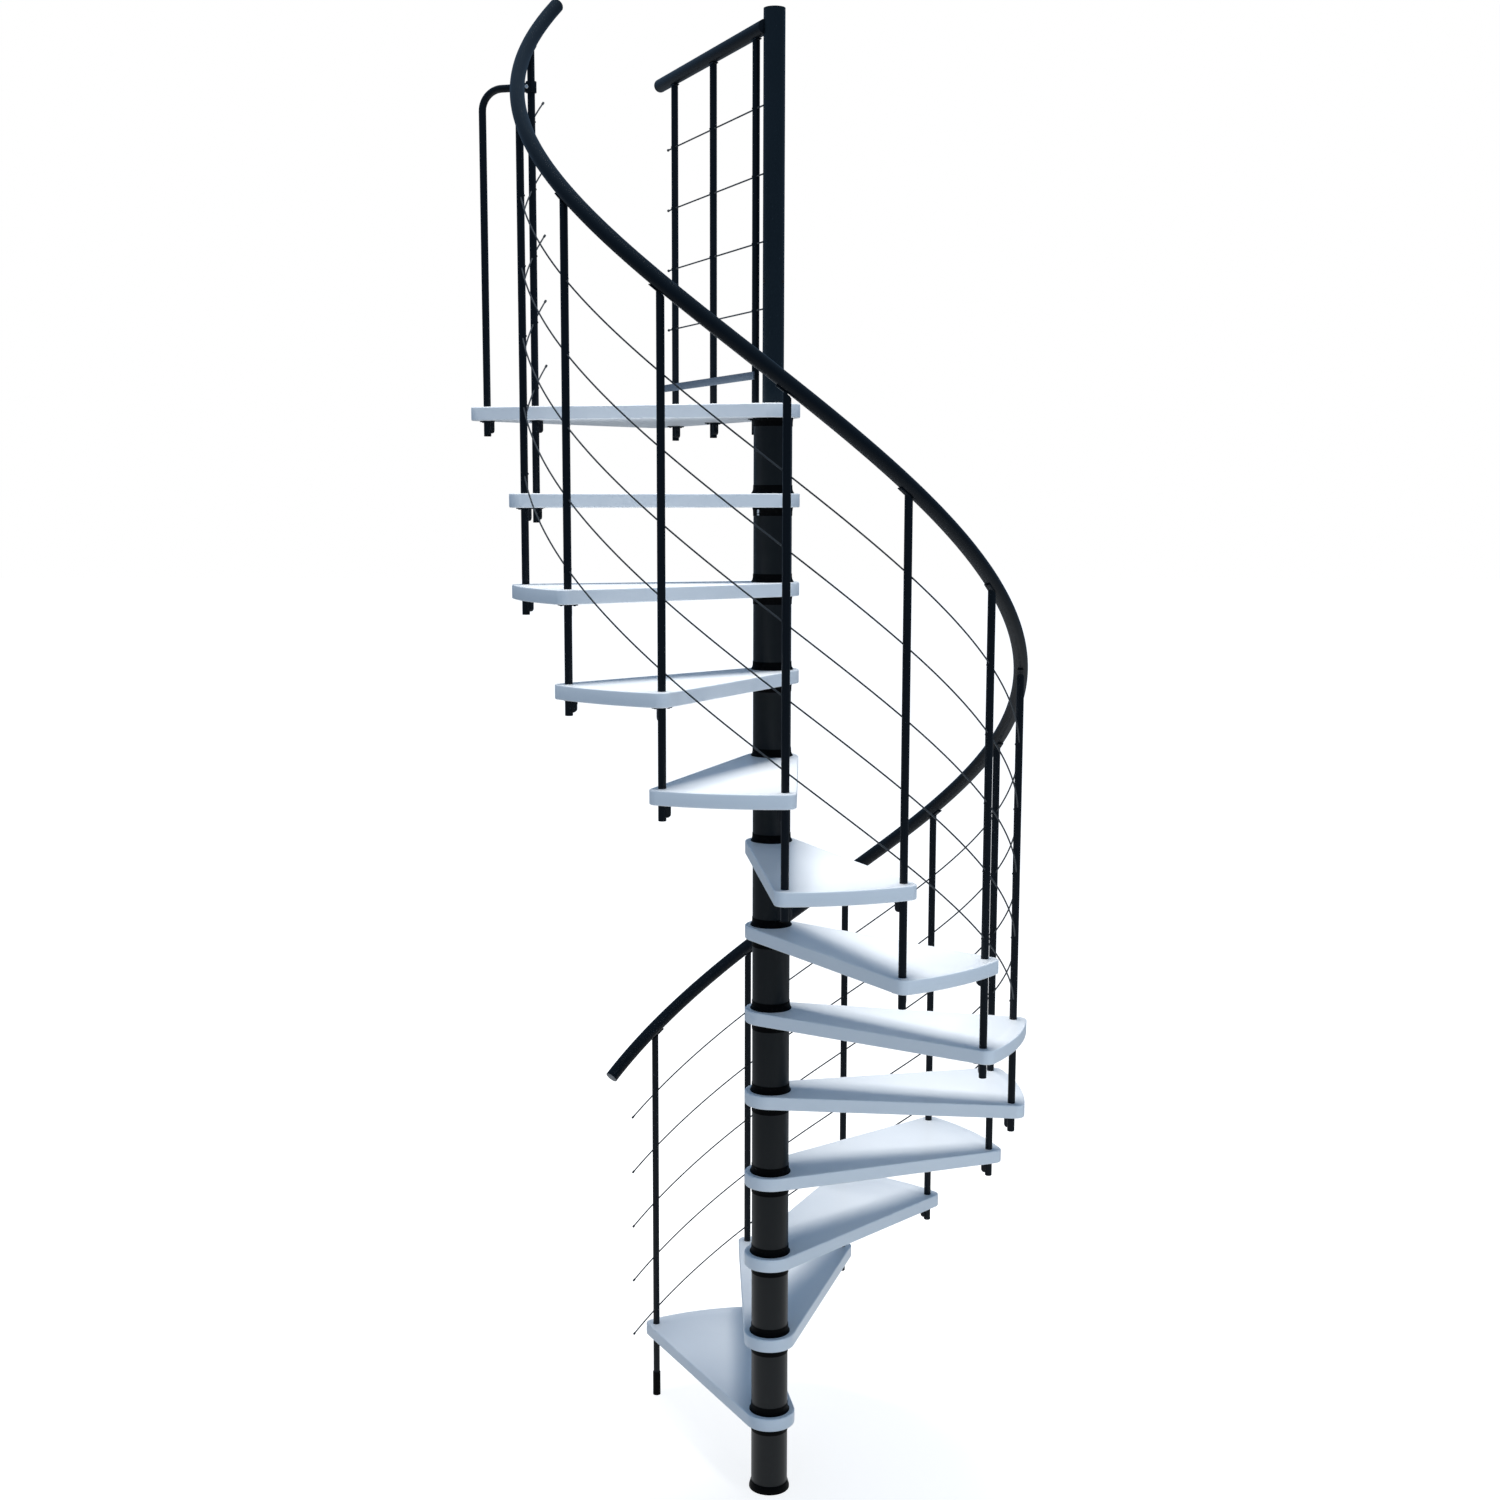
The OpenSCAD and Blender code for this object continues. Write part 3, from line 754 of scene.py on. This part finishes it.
def rope(bm, length):
    """A straight laid rope along Z, from 0 to length. Returns its vertices."""
    rings = round(length / LAY * RINGS_PER_LAY)
    made = bmesh.ops.create_grid(bm, x_segments=2 * LOBES, y_segments=rings, size=1)["verts"]
    for vert in made:
        column = round((vert.co.x + 1) * LOBES)
        along = (vert.co.y + 1) / 2 * length
        radius = CABLE_R * (HOLLOW if column % 2 else 1)
        angle = math.pi * column / LOBES + 2 * math.pi * along / LAY
        vert.co = (radius * math.cos(angle), radius * math.sin(angle), along)
    bmesh.ops.remove_doubles(bm, verts=made, dist=WELD)
    made = [v for v in made if v.is_valid]
    ends = [e for e in edges_of(made) if e.is_boundary]
    bmesh.ops.holes_fill(bm, edges=ends, sides=2 * LOBES)
    return made


CABLE_RUN = math.radians(7.3)
CABLE_LOW = RISE + 0.050
CABLE_GAP = 0.175
cable_length = (FLIGHT + 2 * CABLE_RUN) * CIRCLE / math.cos(SLOPE)
for j in range(CABLES):
    bm = bmesh.new()
    rope(bm, cable_length)
    for vert in bm.verts:
        turn = vert.co.z * math.cos(SLOPE) / CIRCLE - CABLE_RUN
        point, out, up, along = helix_place(turn, CABLE_LOW + j * CABLE_GAP)
        vert.co = point + vert.co.x * out + vert.co.y * up
    bmesh.ops.recalc_face_normals(bm, faces=bm.faces)
    harden(bm, degrees=60)
    piece_from(bm, f"flight_wire_{j + 1}", wire, [f"flight_cable_{j + 1}"])
print("each cable is", round(cable_length, 2), "m long")

# %% [markdown]
# ## The guard's cables
# The guard beside the platform has four short, straight cables. They start
# just clear of the pole and end past the last tube in a ball stop.

# %% Straight guard cables with ball stops
GUARD_CABLE_LOW = PLATFORM_TOP + 0.246
GUARD_CABLE_GAP = 0.1725
GUARD_CABLES = 4
GUARD_CABLE_RUN = 0.055
POLE_GAP = 0.001
BALL_R = 0.004
guard_end = GUARD_FEET[-1] + GUARD_CABLE_RUN
guard_near = math.sqrt(POLE_R ** 2 - GUARD_OFFSET ** 2) + POLE_GAP
axis_turn = Matrix.Rotation(GUARD_AZ, 4, "Z") @ Matrix.Rotation(math.pi / 2, 4, "Y")
bm = bmesh.new()
for j in range(GUARD_CABLES):
    z = GUARD_CABLE_LOW + j * GUARD_CABLE_GAP
    strands = rope(bm, guard_end - guard_near)
    bmesh.ops.transform(
        bm, verts=strands, matrix=Matrix.Translation(on_guard(guard_near, z)) @ axis_turn
    )
    bmesh.ops.create_uvsphere(
        bm, u_segments=24, v_segments=14, radius=BALL_R,
        matrix=Matrix.Translation(on_guard(guard_end, z)) @ axis_turn,
    )
bmesh.ops.recalc_face_normals(bm, faces=bm.faces)
harden(bm, degrees=60)
piece_from(bm, "guard_wires", wire, ["guard_cables"])

# %% [markdown]
# The flight's cables end in small crimped stops just past the end balusters.

# %% Crimped cable stops
STOP_R = 0.0033
STOP_L = 0.008
STOP_OVERLAP = 0.007
STOP_EASE = 0.001
bm = bmesh.new()
for j in range(CABLES):
    for turn, way in ((-CABLE_RUN, -1), (FLIGHT + CABLE_RUN, 1)):
        point, out, up, along = helix_place(turn, CABLE_LOW + j * CABLE_GAP)
        start = point - way * along * STOP_OVERLAP
        rounded_disc(bm, start, way * along, STOP_R, STOP_L, STOP_EASE, count=20)
harden(bm)
piece_from(bm, "cable_stops", wire)

# %% [markdown]
# ## Eased edges
# Clamps, saddles, the base collar, the toe strip, the pole's cap and the
# guard's handrail come off the CAD model with knife edges. A copy of each is
# welded and a small bevel is run along its hard edges, as a casting or a cut
# tube would have. Flat faces are joined up first, except on the domed cap,
# whose facets are needed for its curve.

# %% Copies with eased edges
def eased(node, width, segments, name, material, degrees=38, flats=True):
    """A copy of a CAD node with its hard edges bevelled."""
    bm = bmesh.new()
    bm.from_mesh(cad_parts[node].data)
    bmesh.ops.remove_doubles(bm, verts=bm.verts, dist=WELD)
    if flats:
        bmesh.ops.dissolve_limit(
            bm, angle_limit=math.radians(1), verts=bm.verts, edges=bm.edges
        )
    hard = [
        e for e in bm.edges
        if len(e.link_faces) == 2 and e.calc_face_angle(0) > math.radians(degrees)
    ]
    bmesh.ops.bevel(
        bm, geom=hard, offset=width, offset_type="OFFSET", affect="EDGES",
        segments=segments, profile=0.5, material=-1, clamp_overlap=True,
    )
    harden(bm)
    return piece_from(bm, name, material, [node])


eased("base_collar", 0.0012, 3, "base_collar_ring", collar_plastic)
eased("toe_bar", 0.0010, 2, "toe_strip", strip)
eased("handrail_saddles", 0.0006, 2, "saddle_plates", rail_coat_and_blue_sheen)
eased("pole_cap", 0.0008, 3, "domed_pole_cap", pole_coat_and_blue_sheen, flats=False)
eased("guard_handrail", 0.0016, 3, "guard_rail_tube", rail_coat_and_blue_sheen)
eased("guard_saddles", 0.0006, 2, "guard_saddle_plates", rail_coat_and_blue_sheen)
eased("tread_clamps", 0.0007, 2, "tread_clamp_castings", rail_coat_and_blue_sheen)
eased("platform_clamps", 0.0007, 2, "platform_clamp_castings", rail_coat_and_blue_sheen)
eased("closing_clamp", 0.0008, 2, "closing_ring_clamp", rail_coat_and_blue_sheen)

# %% [markdown]
# ## Collars round the spacers
# A moulded collar seats each spacer on the tread below, and another meets the
# tread above. The lower one hugs the tube and sweeps out only near its foot,
# like the bell of a trumpet. The upper one is nearly straight. Each profile is
# a closed loop of edges, curved by a power of the height, and a full spin
# about the pole makes the ring.

# %% Spun collars
COLLAR_H = 0.022
COLLAR_TOP_R = 0.0526
COLLAR_BORE_R = 0.0518
FOOT_LIP_R = 0.0572
HEAD_LIP_R = 0.0542
LIP_T = 0.0018
LIP_EASE = 0.0004
FOOT_FLARE = 4
HEAD_FLARE = 3
BELL_STEPS = 8
COLLAR_SIDES = 96


def collar_outline(bm, seat, way, lip_r, power):
    """A collar's profile with its lip on a tread face, rising up or down."""
    outline = [(COLLAR_BORE_R, 0.0), (lip_r - LIP_EASE, 0.0), (lip_r, LIP_EASE)]
    for i in range(BELL_STEPS + 1):
        t = i / BELL_STEPS
        radius = COLLAR_TOP_R + (lip_r - COLLAR_TOP_R) * (1 - t) ** power
        outline.append((radius, LIP_T + t * (COLLAR_H - LIP_T)))
    outline.append((COLLAR_BORE_R, COLLAR_H))
    verts = [bm.verts.new((radius, 0, seat + way * z)) for radius, z in outline]
    for i in range(len(verts)):
        bm.edges.new((verts[i - 1], verts[i]))


bm = bmesh.new()
for k in range(1, TREADS + 1):
    collar_outline(bm, k * RISE, 1, FOOT_LIP_R, FOOT_FLARE)
    collar_outline(bm, k * RISE - TREAD_T, -1, HEAD_LIP_R, HEAD_FLARE)
collar_outline(bm, PLATFORM_TOP - TREAD_T, -1, HEAD_LIP_R, HEAD_FLARE)
bmesh.ops.spin(
    bm, geom=bm.verts[:] + bm.edges[:], cent=(0, 0, 0), axis=(0, 0, 1),
    angle=2 * math.pi, steps=COLLAR_SIDES, use_merge=True,
)
bmesh.ops.remove_doubles(bm, verts=bm.verts, dist=WELD / 10)
bmesh.ops.recalc_face_normals(bm, faces=bm.faces)
harden(bm)
piece_from(bm, "spacer_collar_rings", collar_plastic, ["spacer_collars"])

# %% [markdown]
# ## Screws
# Every screw is a copy of one button head: a short rod with a rounded rim and
# a round socket. It is made once with a radius of 1, then placed many times.

# %% One button-head screw
HEAD_TOP = 0.6
HEAD_DEPTH = 0.75
HEAD_EASE = 0.28
SOCKET_RIM = 0.28
SOCKET_TAPER = 0.03
SOCKET_DEPTH = 0.3
bm = bmesh.new()
made = bmesh.ops.create_cone(
    bm, cap_ends=True, segments=14, radius1=1, radius2=1, depth=HEAD_DEPTH,
    matrix=Matrix.Translation((0, 0, HEAD_TOP - HEAD_DEPTH / 2)),
)["verts"]
rim = [e for e in edges_of(made) if min(v.co.z for v in e.verts) > HEAD_TOP / 2]
bmesh.ops.bevel(
    bm, geom=rim, offset=HEAD_EASE, offset_type="OFFSET", affect="EDGES",
    segments=2, profile=0.5, material=-1,
)
top = [f for f in bm.faces if f.normal.z > 0.99]
bmesh.ops.inset_region(bm, faces=top, thickness=SOCKET_RIM, depth=0)
bmesh.ops.inset_region(bm, faces=top, thickness=SOCKET_TAPER, depth=-SOCKET_DEPTH)
harden(bm, degrees=50)
screw_mesh = bpy.data.meshes.new("screw")
bm.to_mesh(screw_mesh)
bm.free()


def add_screw(bm, point, axis, radius):
    """A button-head screw whose head stands on a point."""
    old = set(bm.verts)
    bm.from_mesh(screw_mesh)
    turn = axis.to_track_quat("Z", "Y").to_matrix().to_4x4()
    bmesh.ops.transform(
        bm, verts=[v for v in bm.verts if v not in old],
        matrix=Matrix.Translation(point) @ turn @ Matrix.Diagonal((radius, radius, radius, 1)),
    )


print("screw with", len(screw_mesh.polygons), "faces")

# %% [markdown]
# Each clamp under a tread has two flange screws that face down and one in the
# lug's tip that grips the tube. The clamp nearest the pole has no lug.

# %% Screws in the clamps
FLANGE_T = 0.003
FLANGE_REACH = 0.017
LUG_TIP = 0.020
LUG_SCREW_DROP = 0.011
FLANGE_SCREW_R = 0.0036
LUG_SCREW_R = 0.0031
CLAMP_TURN = math.radians(135)
NEAR_CLAMP_TURN = math.radians(25)
down = Vector((0, 0, -1))
clamps = []
for k in range(1, TREADS + 1):
    under = k * RISE - TREAD_T
    for b, side in ((k - 1, -1), (k, 1)):
        az, foot = standing(b)
        clamps.append((foot + Vector((0, 0, under)), az + side * CLAMP_TURN, True))
under = Vector((0, 0, PLATFORM_TOP - TREAD_T))
clamps.append((standing(TREADS)[1] + under, LAST_AZ - CLAMP_TURN, True))
clamps.append((closing_foot + under, LAST_AZ - PLATFORM_HALF - math.pi / 2, True))
for n, along in enumerate(GUARD_FEET):
    az = GUARD_AZ + (math.pi if n else NEAR_CLAMP_TURN)
    clamps.append((on_guard(along) + under, az, n > 0))

bm = bmesh.new()
for foot, az, lugged in clamps:
    ahead = heading(az)
    for side in (-1, 1):
        place = foot + side * FLANGE_REACH * leftward(az) + FLANGE_T * down
        add_screw(bm, place, down, FLANGE_SCREW_R)
    if lugged:
        add_screw(bm, foot + LUG_TIP * ahead + LUG_SCREW_DROP * down, ahead, LUG_SCREW_R)
piece_from(bm, "clamp_screws", screw_steel)

# %% [markdown]
# Two small screws go up through each saddle into the handrail. Where a cable
# runs through a tube, a set screw from the pole's side holds it.

# %% Screws in the saddles and at the cables
SADDLE_DEPTH = RAIL_R + 0.0033
SADDLE_SCREW = 0.0134
SADDLE_SCREW_R = 0.0024
SET_SCREW_R = 0.0026
GUARD_RAIL = PLATFORM_TOP + RAIL_H
bm = bmesh.new()
for k in range(TREADS + 1):
    point, out, up, along = helix_place(k * STEP, RAIL_LOW)
    for side in (-1, 1):
        place = point - SADDLE_DEPTH * up + side * SADDLE_SCREW * along
        add_screw(bm, place, -up, SADDLE_SCREW_R)
    for j in range(CABLES):
        point, out, up, along = helix_place(k * STEP, CABLE_LOW + j * CABLE_GAP)
        add_screw(bm, point - BALUSTER_R * out, -out, SET_SCREW_R)
for foot in GUARD_FEET:
    for side in (-1, 1):
        place = on_guard(foot + side * SADDLE_SCREW, GUARD_RAIL - SADDLE_DEPTH)
        add_screw(bm, place, down, SADDLE_SCREW_R)
    for j in range(GUARD_CABLES):
        z = GUARD_CABLE_LOW + j * GUARD_CABLE_GAP
        add_screw(bm, on_guard(foot, z, BALUSTER_R), leftward(GUARD_AZ), SET_SCREW_R)
piece_from(bm, "rail_screws", screw_steel)

# %% [markdown]
# Three larger screws stand round the pole above the platform, and one bright
# screw closes the ring clamp that joins the closing tube to the last baluster.

# %% Screws on the pole and the ring clamp
POLE_SCREW_Z = PLATFORM_TOP + 0.316
POLE_SCREW_R = 0.0042
RING_Z = PLATFORM_TOP + 0.840
RING_SCREW_OUT = 0.008
RING_SCREW_ASIDE = 0.0121
RING_SCREW_R = 0.0050
bm = bmesh.new()
for degrees in (-150, -30, 90):
    out = heading(math.radians(degrees))
    add_screw(bm, POLE_R * out + Vector((0, 0, POLE_SCREW_Z)), out, POLE_SCREW_R)
piece_from(bm, "pole_screws", screw_steel)

left = leftward(LAST_AZ)
place = standing(TREADS)[1] + RING_SCREW_OUT * heading(LAST_AZ) + RING_SCREW_ASIDE * left
bm = bmesh.new()
add_screw(bm, place + Vector((0, 0, RING_Z)), left, RING_SCREW_R)
piece_from(bm, "ring_clamp_screw", zinc)

# %% [markdown]
# The collar under the top tread is split, and a bright clasp in two parts
# closes it. Each part is a thin rounded plate that stands on the collar.

# %% The clasp on the top collar
CLASP_AZ = math.radians(-137)
CLASP_GAP = 0.0003
CLASP_W = 0.0075
CLASP_T = 0.0014
CLASP_EASE = 0.0004
CLASP_PARTS = ((0.001, 0.0055), (0.0070, 0.0165))
out = heading(CLASP_AZ)
head = TREADS * RISE - TREAD_T
foot = (COLLAR_TOP_R + CLASP_GAP) * out + Vector((0, 0, head - COLLAR_H))
upward = Vector((0, 0, 1))
turn = Matrix((upward.cross(out), upward, out)).transposed().to_4x4()
bm = bmesh.new()
for start, end in CLASP_PARTS:
    size = Matrix.Diagonal((CLASP_W, end - start, CLASP_T, 1))
    middle = foot + upward * (start + end) / 2
    plate = bmesh.ops.create_cube(bm, size=1, matrix=Matrix.Translation(middle) @ turn @ size)
    bmesh.ops.bevel(
        bm, geom=edges_of(plate["verts"]), offset=CLASP_EASE, offset_type="OFFSET",
        affect="EDGES", segments=2, profile=0.5, material=-1,
    )
bmesh.ops.recalc_face_normals(bm, faces=bm.faces)
harden(bm)
piece_from(bm, "collar_clasp", zinc)

# %% [markdown]
# ## Tube end caps
# The open lower end of each tube is closed by a thin black cap.

# %% Caps under the tubes
TUBE_DROP = 0.077
CAP_START = 0.0005
CAP_DEPTH = 0.0030
CAP_EASE = 0.0011
bm = bmesh.new()
ends = [standing(k)[1] + Vector((0, 0, k * RISE - TUBE_DROP)) for k in range(1, TREADS + 1)]
ends += [closing_foot + Vector((0, 0, PLATFORM_TOP - TUBE_DROP))]
ends += [on_guard(along, PLATFORM_TOP - TUBE_DROP) for along in GUARD_FEET]
for end in ends:
    start = end - CAP_START * down
    rounded_disc(bm, start, down, BALUSTER_R - SKIN_GAP, CAP_DEPTH, CAP_EASE, count=32)
harden(bm)
piece_from(bm, "tube_end_caps", collar_plastic)

# %% [markdown]
# ## Nodes that keep their CAD shape
# The plain tubes are right as they are and only need their finish.

# %% Finish the plain tubes
paint_node("centre_pole", pole_coat_and_blue_sheen)
paint_node("spacer_tubes", spacer_coat)
for node in ("flight_balusters", "guard_balusters", "closing_tube"):
    paint_node(node, rail_coat_and_blue_sheen)
paint_node("floor_sleeve", collar_plastic)
print("painted the tubes")
